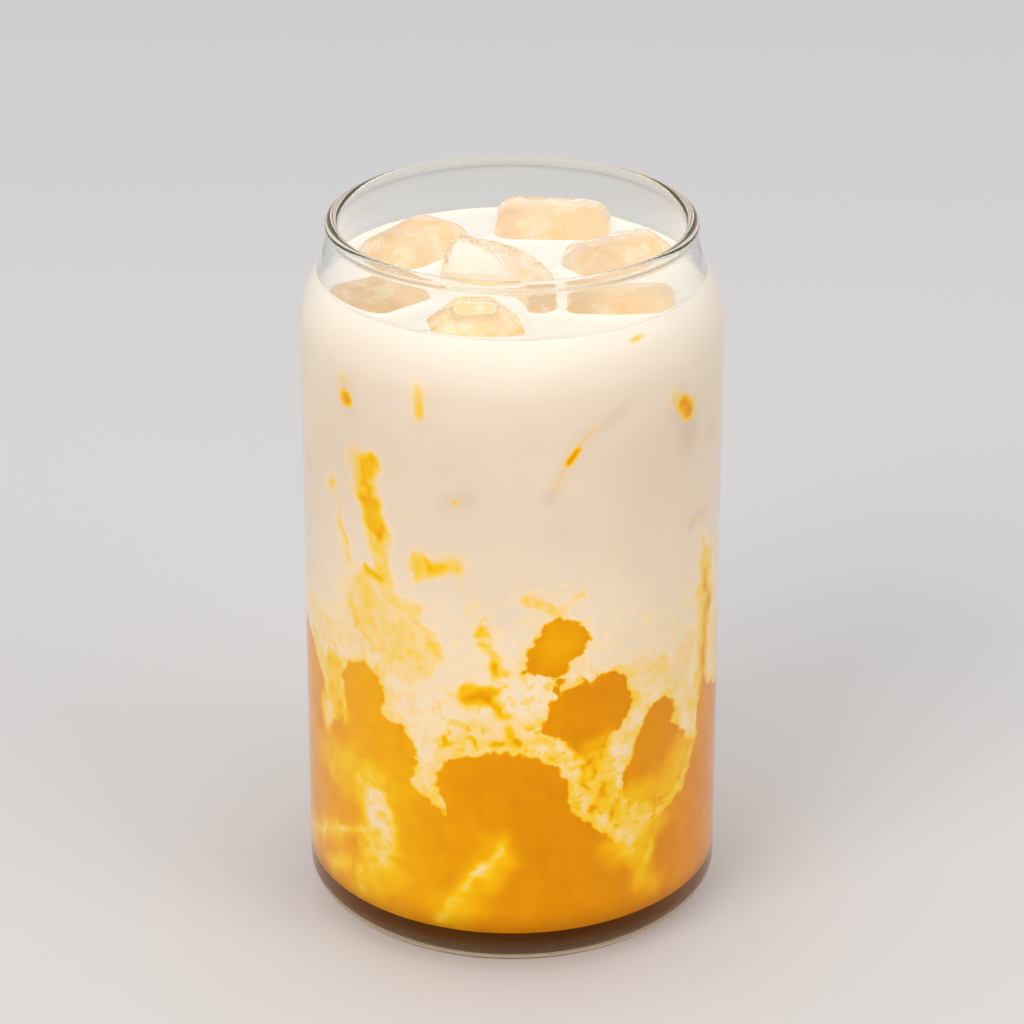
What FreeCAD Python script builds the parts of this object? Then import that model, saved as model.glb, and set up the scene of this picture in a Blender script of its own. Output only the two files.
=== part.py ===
import FreeCAD, Part
import math
import os

# Iced mango milk in a can-shaped glass.
# Millimetres, +Z up, the origin at the centre of the glass's foot.
# Bearings are in degrees about Z: 0 is the front (-Y) and 90 is the right (+X).

# Glass, outside
HEIGHT = 133.0
BODY_RADIUS = 38.0
NECK_RADIUS = 33.0
SHOULDER_ARC = 21.6  # convex arc that turns the body inwards
NECK_ARC = 13.4  # concave arc that turns it upright again
NECK_LENGTH = 2.4  # from the end of the concave arc to the top of the rim
HEEL_WIDTH = 10.0  # the heel is a quarter of an ellipse
HEEL_RISE = 7.0
FOOT_WIDTH = 2.5  # flat ring that the glass stands on
PUNT_RISE = 1.6  # shallow dome under the base

# Glass, wall and inside
WALL = 2.0
RIM_SWELL = 0.3  # how much thicker than the wall the fire-polished bead is
BASE_THICKNESS = 7.0
BORE_CORNER = 6.0  # round between the floor and the wall

# Drink
FREEBOARD = 10.5  # from the milk up to the rim
PUREE_LEVEL = 29.0  # mean level of the mango puree above the foot
PUREE_GRID = 13  # points each way on the puree's upper surface

# Swells and dips of the puree's surface: bearing, distance from the wall, rise, spread
PUREE_SWELLS = [
    (-74, 3.0, 23.0, 11.0),
    (-46, 2.0, 17.0, 6.5),
    (-23, 0.0, -6.0, 5.5),
    (-3, 2.0, 15.0, 8.5),
    (24, 0.0, -5.0, 6.5),
    (45, 2.0, 17.0, 6.0),
    (71, 1.0, 31.0, 7.0),
    (106, 4.0, 12.0, 9.0),
    (141, 3.0, 22.0, 8.0),
    (178, 3.0, 9.0, 9.0),
    (-143, 2.0, 25.0, 8.0),
    (-108, 4.0, 8.0, 7.0),
    (0, 32.0, 11.0, 13.0),
]

# Puree that floats in the milk against the wall: bearing, height, width, tallness, lean
LUMP_DEPTH = 4.5
LUMP_ROUND = 1.5
PUREE_LUMPS = {
    "puree_lump_upper": (12, 66.0, 12.5, 11.0, -25),
    "puree_lump_middle": (22, 52.0, 18.0, 13.5, 12),
    "puree_lump_small": (-8, 56.5, 9.5, 6.0, 35),
}

# Ice, blocks that taper upwards and have melted edges.  Each has its place in plan, its
# length, width and thickness, taper, melt, height of its top over the milk, and its turn,
# nod and roll about the middle of its top
ICE_CLEARANCE = 0.3  # film of milk between the ice and the glass
ICE_BLOCKS = {
    "ice_back_left": (-18.0, 11.8, 23.0, 16.5, 14.0, 0.84, 4.6, 3.8, 50, -3, -3),
    "ice_left": (-22.9, -11.4, 16.0, 17.0, 13.0, 0.90, 3.6, 1.9, -40, 2, 3),
    "ice_back": (7.6, 23.0, 22.5, 14.5, 14.0, 0.94, 3.8, 4.0, -4, 3, 1),
    "ice_right": (19.2, 6.0, 21.0, 12.0, 13.0, 0.94, 3.2, 3.6, 33, 4, 2),
    "ice_front_right": (18.6, -14.0, 20.0, 14.0, 12.0, 0.94, 3.2, 2.2, -3, 3, 0),
    "ice_front": (-6.2, -25.8, 24.0, 16.5, 10.0, 0.26, 2.0, 5.4, 6, 0, 0),
}

# The crescent that stands highest, hollow side to the front left and one tip low
CRESCENT_NAME = "ice_centre"
CRESCENT_X = -1.6
CRESCENT_Y = -9.4
CRESCENT_CHORD = 21.0
CRESCENT_BACK = 9.0  # how far the round back stands off the chord
CRESCENT_HOLLOW = 1.2  # and the hollow side
CRESCENT_TIP = 3.5  # half the width of a blunt tip
CRESCENT_TIP_ROUND = 2.5  # how far a tip bulges past the chord's end
CRESCENT_HEIGHT = 12.0
CRESCENT_MELT = 1.6
CRESCENT_RISE = 4.2  # middle of its top above the milk
CRESCENT_TURN = -47
CRESCENT_NOD = 15

# Worked out from the sizes above
BORE_RADIUS = BODY_RADIUS - WALL
NECK_Z = HEIGHT - NECK_LENGTH
SHOULDER_TURN = math.degrees(math.acos(1 - (BODY_RADIUS - NECK_RADIUS) / (SHOULDER_ARC + NECK_ARC)))
SHOULDER_Z = NECK_Z - (SHOULDER_ARC + NECK_ARC) * math.sin(math.radians(SHOULDER_TURN))
MILK_Z = HEIGHT - FREEBOARD
Z_AXIS = FreeCAD.Vector(0, 0, 1)
ORIGIN = FreeCAD.Vector(0, 0, 0)


def section_point(radius, z):
    return FreeCAD.Vector(radius, 0, z)


def line(start, end):
    return Part.LineSegment(start, end).toShape()


def arc(centre_r, centre_z, radius, start, end):
    """Arc of the half section about a centre, between two angles in degrees."""
    points = []
    for angle in (start, (start + end) / 2, end):
        turn = math.radians(angle)
        points.append(section_point(centre_r + radius * math.cos(turn), centre_z + radius * math.sin(turn)))
    return Part.Arc(*points).toShape()


def revolve(edges):
    """Turn a closed half section about Z into a solid."""
    wire = Part.Wire(Part.__sortEdges__(edges))
    return Part.Face(wire).revolve(ORIGIN, Z_AXIS, 360)


def neck_edges(inset):
    """Shoulder and neck, outside for no inset and inside for an inset of one wall."""
    shoulder = arc(BODY_RADIUS - SHOULDER_ARC, SHOULDER_Z, SHOULDER_ARC - inset, 0, SHOULDER_TURN)
    neck = arc(NECK_RADIUS + NECK_ARC, NECK_Z, NECK_ARC + inset, 180 + SHOULDER_TURN, 180)
    return [shoulder, neck]


def heel_edges():
    """Body wall, rounded heel, flat foot ring and the domed punt under the base."""
    ring_radius = BODY_RADIUS - HEEL_WIDTH
    punt_radius = ring_radius - FOOT_WIDTH
    centre = section_point(ring_radius, HEEL_RISE)
    widest = section_point(BODY_RADIUS, HEEL_RISE)
    lowest = section_point(ring_radius, 0)
    heel = Part.ArcOfEllipse(Part.Ellipse(widest, lowest, centre), 0, math.pi / 2).toShape()
    dome_radius = (punt_radius**2 + PUNT_RISE**2) / (2 * PUNT_RISE)
    dome_half_turn = math.degrees(math.asin(punt_radius / dome_radius))
    punt = arc(0, PUNT_RISE - dome_radius, dome_radius, 90 - dome_half_turn, 90)
    return [
        line(section_point(BODY_RADIUS, SHOULDER_Z), widest),
        heel,
        line(lowest, section_point(punt_radius, 0)),
        punt,
    ]


def rim_edges():
    """Short upright neck and the bead round the lip, wider than the wall on both sides."""
    bead_radius = (WALL + RIM_SWELL) / 2
    bead_z = HEIGHT - bead_radius
    tuck = math.degrees(math.acos(WALL / (WALL + RIM_SWELL)))
    joint_z = bead_z - bead_radius * math.sin(math.radians(tuck))
    return [
        line(section_point(NECK_RADIUS, NECK_Z), section_point(NECK_RADIUS, joint_z)),
        arc(NECK_RADIUS - WALL / 2, bead_z, bead_radius, -tuck, 180 + tuck),
        line(section_point(NECK_RADIUS - WALL, joint_z), section_point(NECK_RADIUS - WALL, NECK_Z)),
    ]


def bore_edges(inset):
    """Inside of the glass from the shoulder down the wall and round to the floor's centre."""
    side_r = BORE_RADIUS - inset
    floor_z = BASE_THICKNESS + inset
    corner_r = BORE_RADIUS - BORE_CORNER
    corner_z = BASE_THICKNESS + BORE_CORNER
    return [
        line(section_point(side_r, SHOULDER_Z), section_point(side_r, corner_z)),
        arc(corner_r, corner_z, BORE_CORNER - inset, 0, -90),
        line(section_point(corner_r, floor_z), section_point(0, floor_z)),
    ]


def make_glass():
    axis = line(section_point(0, BASE_THICKNESS), section_point(0, PUNT_RISE))
    outside = neck_edges(0) + heel_edges()
    inside = neck_edges(WALL) + bore_edges(0)
    return revolve(outside + rim_edges() + inside + [axis])


def make_bore(inset):
    """Solid of the room inside the glass up to its neck, drawn in by an inset from the wall."""
    top = section_point(NECK_RADIUS - WALL - inset, NECK_Z)
    side = neck_edges(WALL + inset) + bore_edges(inset)
    lid = line(top, section_point(0, NECK_Z))
    axis = line(section_point(0, NECK_Z), section_point(0, BASE_THICKNESS + inset))
    return revolve(side + [lid, axis])


def make_fill():
    """All that the glass holds, up to the milk's level."""
    return make_bore(0).common(Part.makeCylinder(BODY_RADIUS, MILK_Z))


def plan_point(bearing, radius):
    turn = math.radians(bearing)
    return radius * math.sin(turn), -radius * math.cos(turn)


def puree_height(x, y):
    """Height of the puree's surface: its mean level and the swells that rise off it."""
    height = PUREE_LEVEL
    for bearing, from_wall, rise, spread in PUREE_SWELLS:
        swell_x, swell_y = plan_point(bearing, BORE_RADIUS - from_wall)
        distance = math.hypot(x - swell_x, y - swell_y)
        height += rise * math.exp(-((distance / spread) ** 2))
    return height


def make_puree(fill):
    """The bottom of the drink, under a smooth surface drawn through a grid of heights."""
    step = 2 * BODY_RADIUS / (PUREE_GRID - 1)
    ticks = [-BODY_RADIUS + step * i for i in range(PUREE_GRID)]
    rows = [[FreeCAD.Vector(x, y, puree_height(x, y)) for y in ticks] for x in ticks]
    surface = Part.BSplineSurface()
    surface.interpolate(rows)
    block = surface.toShape().extrude(FreeCAD.Vector(0, 0, -HEIGHT))
    return fill.common(block)


def make_lump(fill, puree, bearing, height, width, tallness, lean):
    """A pad of puree, oval from outside, that clings to the wall."""
    long_side, short_side = max(width, tallness), min(width, tallness)
    oval = Part.Ellipse(ORIGIN, long_side / 2, short_side / 2).toShape()
    pad = Part.Face(Part.Wire(oval)).extrude(FreeCAD.Vector(0, 0, WALL + LUMP_DEPTH))
    inner_edges = [edge for edge in pad.Edges if edge.CenterOfMass.z > LUMP_DEPTH]
    pad = pad.makeFillet(LUMP_ROUND, inner_edges)
    pad.rotate(ORIGIN, Z_AXIS, lean)
    pad.rotate(ORIGIN, FreeCAD.Vector(1, 0, 0), -90)
    pad.translate(FreeCAD.Vector(0, -BODY_RADIUS, height))
    pad.rotate(ORIGIN, Z_AXIS, bearing)
    return pad.common(fill).cut(puree)


def make_ice_block(x, y, length, width, thickness, taper, melt, rise, turn, nod, roll):
    """A block of ice that narrows upwards, its length along X before it is turned."""
    inset_x = length * (1 - taper) / 2
    inset_y = width * (1 - taper) / 2
    block = Part.makeWedge(
        0, 0, 0, inset_y, inset_x, length, thickness, width, width - inset_y, length - inset_x
    )
    block = block.makeFillet(melt, block.Edges)
    block.rotate(ORIGIN, FreeCAD.Vector(1, 0, 0), 90)
    block.translate(FreeCAD.Vector(-length / 2, width / 2, -thickness))
    block.rotate(ORIGIN, FreeCAD.Vector(1, 0, 0), nod)
    block.rotate(ORIGIN, FreeCAD.Vector(0, 1, 0), roll)
    block.rotate(ORIGIN, Z_AXIS, turn)
    block.translate(FreeCAD.Vector(x, y, MILK_Z + rise))
    return block


def make_crescent():
    """A crescent of ice drawn in plan by two arcs with blunt tips, melted and tilted."""
    half = CRESCENT_CHORD / 2
    left_back = FreeCAD.Vector(-half, CRESCENT_TIP, 0)
    left_front = FreeCAD.Vector(-half, -CRESCENT_TIP, 0)
    right_back = FreeCAD.Vector(half, CRESCENT_TIP, 0)
    right_front = FreeCAD.Vector(half, -CRESCENT_TIP, 0)
    outline = [
        Part.Arc(left_back, FreeCAD.Vector(0, CRESCENT_BACK, 0), right_back).toShape(),
        Part.Arc(right_back, FreeCAD.Vector(half + CRESCENT_TIP_ROUND, 0, 0), right_front).toShape(),
        Part.Arc(right_front, FreeCAD.Vector(0, CRESCENT_HOLLOW, 0), left_front).toShape(),
        Part.Arc(left_front, FreeCAD.Vector(-half - CRESCENT_TIP_ROUND, 0, 0), left_back).toShape(),
    ]
    crescent = Part.Face(Part.Wire(outline)).extrude(FreeCAD.Vector(0, 0, -CRESCENT_HEIGHT))
    crescent = crescent.makeFillet(CRESCENT_MELT, crescent.Edges)
    crescent.rotate(ORIGIN, FreeCAD.Vector(0, 1, 0), CRESCENT_NOD)
    crescent.rotate(ORIGIN, Z_AXIS, CRESCENT_TURN)
    crescent.translate(FreeCAD.Vector(CRESCENT_X, CRESCENT_Y, MILK_Z + CRESCENT_RISE))
    return crescent


def make_ice():
    """Every piece that breaks the surface, melted back where it meets the glass."""
    ice = {name: make_ice_block(*sizes) for name, sizes in ICE_BLOCKS.items()}
    ice[CRESCENT_NAME] = make_crescent()
    room = make_bore(ICE_CLEARANCE)
    return {name: piece.common(room) for name, piece in ice.items()}


def make_all():
    fill = make_fill()
    puree = make_puree(fill)
    lumps = {name: make_lump(fill, puree, *sizes) for name, sizes in PUREE_LUMPS.items()}
    ice = make_ice()
    milk = fill.cut(puree)
    for piece in list(lumps.values()) + list(ice.values()):
        milk = milk.cut(piece)
    return {"glass": make_glass(), "mango_puree": puree, "milk": milk, **lumps, **ice}


def main():
    os.makedirs("parts", exist_ok=True)
    for name, shape in make_all().items():
        shape.exportStep(os.path.join("parts", name + ".step"))
        print(name, len(shape.Solids), "solid", round(shape.Volume), "mm3", shape.isValid())


main()
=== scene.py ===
import itertools
import math

import bpy
import numpy as np
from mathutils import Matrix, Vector
from mathutils.bvhtree import BVHTree


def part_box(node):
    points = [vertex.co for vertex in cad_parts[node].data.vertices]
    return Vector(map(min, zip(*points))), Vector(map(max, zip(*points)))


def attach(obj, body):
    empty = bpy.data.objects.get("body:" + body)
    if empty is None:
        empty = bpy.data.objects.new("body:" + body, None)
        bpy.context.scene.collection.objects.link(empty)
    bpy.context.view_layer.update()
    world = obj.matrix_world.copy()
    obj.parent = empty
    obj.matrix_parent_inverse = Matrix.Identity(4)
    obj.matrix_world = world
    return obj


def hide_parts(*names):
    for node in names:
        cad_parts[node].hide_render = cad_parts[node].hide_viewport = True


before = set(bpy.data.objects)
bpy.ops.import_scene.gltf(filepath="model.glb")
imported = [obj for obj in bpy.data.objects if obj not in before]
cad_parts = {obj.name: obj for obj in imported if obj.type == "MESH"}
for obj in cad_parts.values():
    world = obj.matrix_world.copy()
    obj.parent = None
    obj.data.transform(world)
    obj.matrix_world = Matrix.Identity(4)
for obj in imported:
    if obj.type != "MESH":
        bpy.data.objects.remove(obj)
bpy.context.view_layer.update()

# Iced mango milk in a can-shaped glass: puree swirls up through milk, under melting ice.
#
# Lengths are in millimetres and are turned into metres where a mesh is made.  +Z is up and
# the front is -Y.  s is the distance round the inside of the wall from the front, positive
# to the right, and z is the height.
MM = 0.001

# Glass, with the CAD model's sizes
HEIGHT = 133.0
BODY_RADIUS = 38.0
NECK_RADIUS = 33.0
SHOULDER_ARC = 21.6
NECK_ARC = 13.4
NECK_LENGTH = 2.4
HEEL_WIDTH = 10.0
HEEL_RISE = 7.0
FOOT_WIDTH = 2.5
PUNT_RISE = 1.6
WALL = 2.0
RIM_SWELL = 0.3
BASE_THICKNESS = 7.0
BORE_CORNER = 6.0
BORE_RADIUS = BODY_RADIUS - WALL
BORE_GIRTH = 2 * math.pi * BORE_RADIUS
CORNER_Z = BASE_THICKNESS + BORE_CORNER
NECK_Z = HEIGHT - NECK_LENGTH
BEND = SHOULDER_ARC + NECK_ARC
SHOULDER_TURN = math.degrees(math.acos(1 - (BODY_RADIUS - NECK_RADIUS) / BEND))
SHOULDER_Z = NECK_Z - BEND * math.sin(math.radians(SHOULDER_TURN))

# Drink
MILK_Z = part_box("milk")[1].z / MM  # top of the milk's climb up the wall and the ice
FLAT_Z = MILK_Z - 0.6  # the milk away from the glass and the ice
REACH = 0.25  # how far the drink reaches into the glass, so that no air shows between them
ICE_TUCK = 0.10  # how far the milk reaches into the ice

PUREE_NODES = ("mango_puree", "puree_lump_upper", "puree_lump_middle", "puree_lump_small")
ICE_NODES = (
    "ice_back_left", "ice_left", "ice_back", "ice_right", "ice_front_right", "ice_front",
    "ice_centre",
)


# ---------------------------------------------------------------- noise
LATTICE_PRIMES = (73856093, 19349663, 83492791)
SEED_PRIME = 2654435761
SCRAMBLE_PRIME = 1274126177
TWELVE_BITS = 0xFFF
LATTICE_GAIN = 1.6  # brings the sum to about -1 to 1


def lattice_noise(points, seed=0):
    """Smooth gradient noise, about -1 to 1, at points measured in its own cells."""
    base = np.floor(points).astype(np.int64)
    inside = points - base
    ease = inside ** 3 * (inside * (inside * 6 - 15) + 10)
    total = np.zeros(len(points))
    for corner in itertools.product((0, 1), repeat=3):
        cell = base + corner
        mix = seed * SEED_PRIME
        for axis, prime in enumerate(LATTICE_PRIMES):
            mix = mix ^ (cell[:, axis] * prime)
        mix = (mix ^ (mix >> 13)) * SCRAMBLE_PRIME
        mix = mix ^ (mix >> 16)
        angle = (mix & TWELVE_BITS) * (2 * math.pi / (TWELVE_BITS + 1))
        lift = ((mix >> 12) & TWELVE_BITS) / ((TWELVE_BITS + 1) / 2) - 1
        flat = np.sqrt(np.maximum(0, 1 - lift ** 2))
        x, y, z = (inside - corner).T
        slope = x * flat * np.cos(angle) + y * flat * np.sin(angle) + z * lift
        share = np.ones(len(points))
        for axis in range(3):
            share *= ease[:, axis] if corner[axis] else 1 - ease[:, axis]
        total += slope * share
    return total * LATTICE_GAIN


def waved(value, points, layers, seed):
    """A value with layers of noise added, each (size of its waves in mm, amount)."""
    for step, (cell, amount) in enumerate(layers):
        value = value + amount * lattice_noise(points / cell, seed + step)
    return value


def smoothstep(x, low, high):
    t = np.clip((x - low) / (high - low), 0, 1)
    return t * t * (3 - 2 * t)


# ---------------------------------------------------------------- outlines and strokes
TINY = 1e-9  # keeps a division by a length of nothing finite
FAR = 1e9


def wall_point(s, z):
    """The point on the inside of the body's wall."""
    turn = s / BORE_RADIUS
    return np.stack([BORE_RADIUS * np.sin(turn), -BORE_RADIUS * np.cos(turn), z], -1)


def wrapped(s):
    """The same distance round the wall, taken the short way."""
    return (s + BORE_GIRTH / 2) % BORE_GIRTH - BORE_GIRTH / 2


def run_distance(ds, dz, es, ez):
    """Distance to the straight run (es, ez), from points (ds, dz) away from its start."""
    t = np.clip((ds * es + dz * ez) / max(es * es + ez * ez, TINY), 0, 1)
    return np.hypot(ds - t * es, dz - t * ez)


def stroke_distance(s, z, line):
    return np.min([
        run_distance(wrapped(s - s0), z - z0, s1 - s0, z1 - z0)
        for (s0, z0), (s1, z1) in zip(line, line[1:])
    ], axis=0)


def outline_depth(s, z, outline):
    """Distance inside a closed outline, and minus the distance outside."""
    middle = sum(corner[0] for corner in outline) / len(outline)
    s = middle + wrapped(s - middle)
    inside = np.zeros(len(s), bool)
    near = np.full(len(s), FAR)
    for (s0, z0), (s1, z1) in zip(outline, outline[1:] + outline[:1]):
        crossed_at = s0 + (z - z0) * (s1 - s0) / (z1 - z0 if z1 != z0 else TINY)
        inside ^= ((z0 > z) != (z1 > z)) & (s < crossed_at)
        near = np.minimum(near, run_distance(s - s0, z - z0, s1 - s0, z1 - z0))
    return np.where(inside, near, -near)


def stroke_mask(s, z, half, soft, line):
    """1 along a stroke of a half width, and less over its soft edge."""
    return smoothstep(half + soft - stroke_distance(s, z, line), 0, 2 * soft)


# ---------------------------------------------------------------- the swirl's layout
# All of it is placed as points (s, z) of the wall.  A stroke is (amount, half width,
# soft edge, line).  A change by height or round the wall is a list of (place, amount).

# Currents that drag the drink along: (size of an eddy, pull, steps, seed)
DRIFTS = [(11.0, 0.018, 1, 21), (4.0, 0.055, 2, 22), (1.6, 0.075, 2, 23)]
# Strength of the puree in the bodies, round the wall
DEPTH_ROUND = [
    (-113, 0.84), (-60, 0.88), (-48, 0.88), (-34, 0.76), (-20, 0.78), (-8, 0.86), (4, 0.92),
    (14, 0.95), (30, 0.95), (50, 0.97), (80, 0.86), (113, 0.84),
]
# Closed outlines of thick puree, limbs that join them and cuts into them: (half width, line)
BODIES = {
    "mass": [
        (-113, -20), (-113, 33), (-104, 38), (-97, 45), (-92, 41), (-84, 34), (-76, 31), (-70, 36),
        (-64, 45), (-58, 53), (-54, 57), (-50, 57.5), (-46.5, 55.5), (-43, 51.5), (-40.5, 47),
        (-41.2, 43), (-40.8, 40.5), (-39.5, 41), (-37.5, 43.5), (-34, 43.5), (-32.5, 46),
        (-33.8, 50), (-34.5, 53), (-33, 56.5), (-30.5, 57.5), (-29, 58.6), (-26.5, 57.6),
        (-25, 56.3), (-23.8, 54), (-23.6, 52), (-25.2, 50), (-24.5, 48.6), (-21, 48.2), (-19, 46.8),
        (-17.4, 44.5), (-17, 41.5), (-17.6, 39), (-18.8, 37.2), (-16.5, 35.5), (-14, 33.6),
        (-11.8, 32.0), (-11.2, 33.2), (-12.6, 35.2), (-13.6, 37.6), (-13.3, 40.6), (-11.6, 43.0),
        (-9.5, 44.0), (-6, 44.6), (-3, 45.2), (0, 45.4), (3, 44.8), (6, 43.4), (8.4, 41.8),
        (9.8, 39.6), (10.2, 36.5), (9.9, 33.8), (10.8, 32), (12.8, 30.6), (15, 28.8), (17.5, 26.8),
        (19.4, 24.6), (21.4, 23.2), (24, 24.0), (26.5, 25.5), (29, 26.6), (32, 28), (35, 30.2),
        (37.3, 33), (38.8, 36.5), (39.6, 40), (40.2, 44), (41.4, 47), (43.4, 47.6), (46, 46),
        (50, 44.5), (56, 43), (62, 40), (68, 37), (74, 41), (80, 47), (86, 44), (93, 37), (100, 35),
        (106, 36), (113, 33), (113, -20),
    ],
    "upper": [
        (1.4, 61.2), (3, 61.2), (5.2, 60.6), (7.2, 59.8), (9.0, 60.8), (10.4, 62.4), (12.6, 64.0),
        (14.2, 66.6), (13.4, 68.8), (11.2, 70.0), (9.6, 70.8), (8.0, 72.0), (6.8, 71.0),
        (5.0, 69.8), (4.0, 67.6), (3.4, 65.2), (2.0, 63.0),
    ],
    "middle": [
        (5.0, 50.8), (6.2, 53.4), (7.4, 55.8), (9.4, 57.4), (11.6, 58.2), (12.2, 59.4),
        (13.6, 58.6), (16.4, 59.4), (19.2, 58.9), (20.6, 57.0), (21.6, 54.6), (22.8, 52.6),
        (21.4, 50.6), (20.2, 48.4), (17.6, 47.2), (16.4, 45.0), (14.2, 44.4), (11.6, 44.6),
        (10.2, 47.0), (7.4, 48.2), (5.6, 49.2),
    ],
    "right": [
        (29.2, 51.2), (26.6, 49.8), (25.2, 47.2), (22.4, 44.2), (22.0, 41.0), (20.6, 38.6),
        (20.4, 35.0), (21.6, 32.0), (25, 30.6), (29.6, 31.0), (33.6, 31.6), (36.0, 34.4),
        (36.6, 38.0), (35.4, 41.4), (33.2, 44.0), (31.6, 44.6), (32.8, 47.0), (32.2, 49.6),
        (30.6, 50.2),
    ],
    "behind_right": [
        (73, 57), (75, 60.4), (78, 61.6), (81, 63), (84, 61), (86, 57.6), (84.6, 55), (82, 53),
        (79, 53.6), (76, 52.6), (74, 54),
    ],
    "behind_left": [
        (-90, 52), (-88, 56), (-85, 58.4), (-82, 58), (-79, 59), (-76.6, 56), (-77.4, 52.6),
        (-80, 50.4), (-84, 51), (-87, 49.6),
    ],
}
LIMBS = [
    (0.7, [(8.0, 59.5), (7.6, 57.4)]),
]
CUTS = [
    (0.25, [(-15.6, 40.5), (-15.2, 38), (-13.0, 35)]),
]
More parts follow.
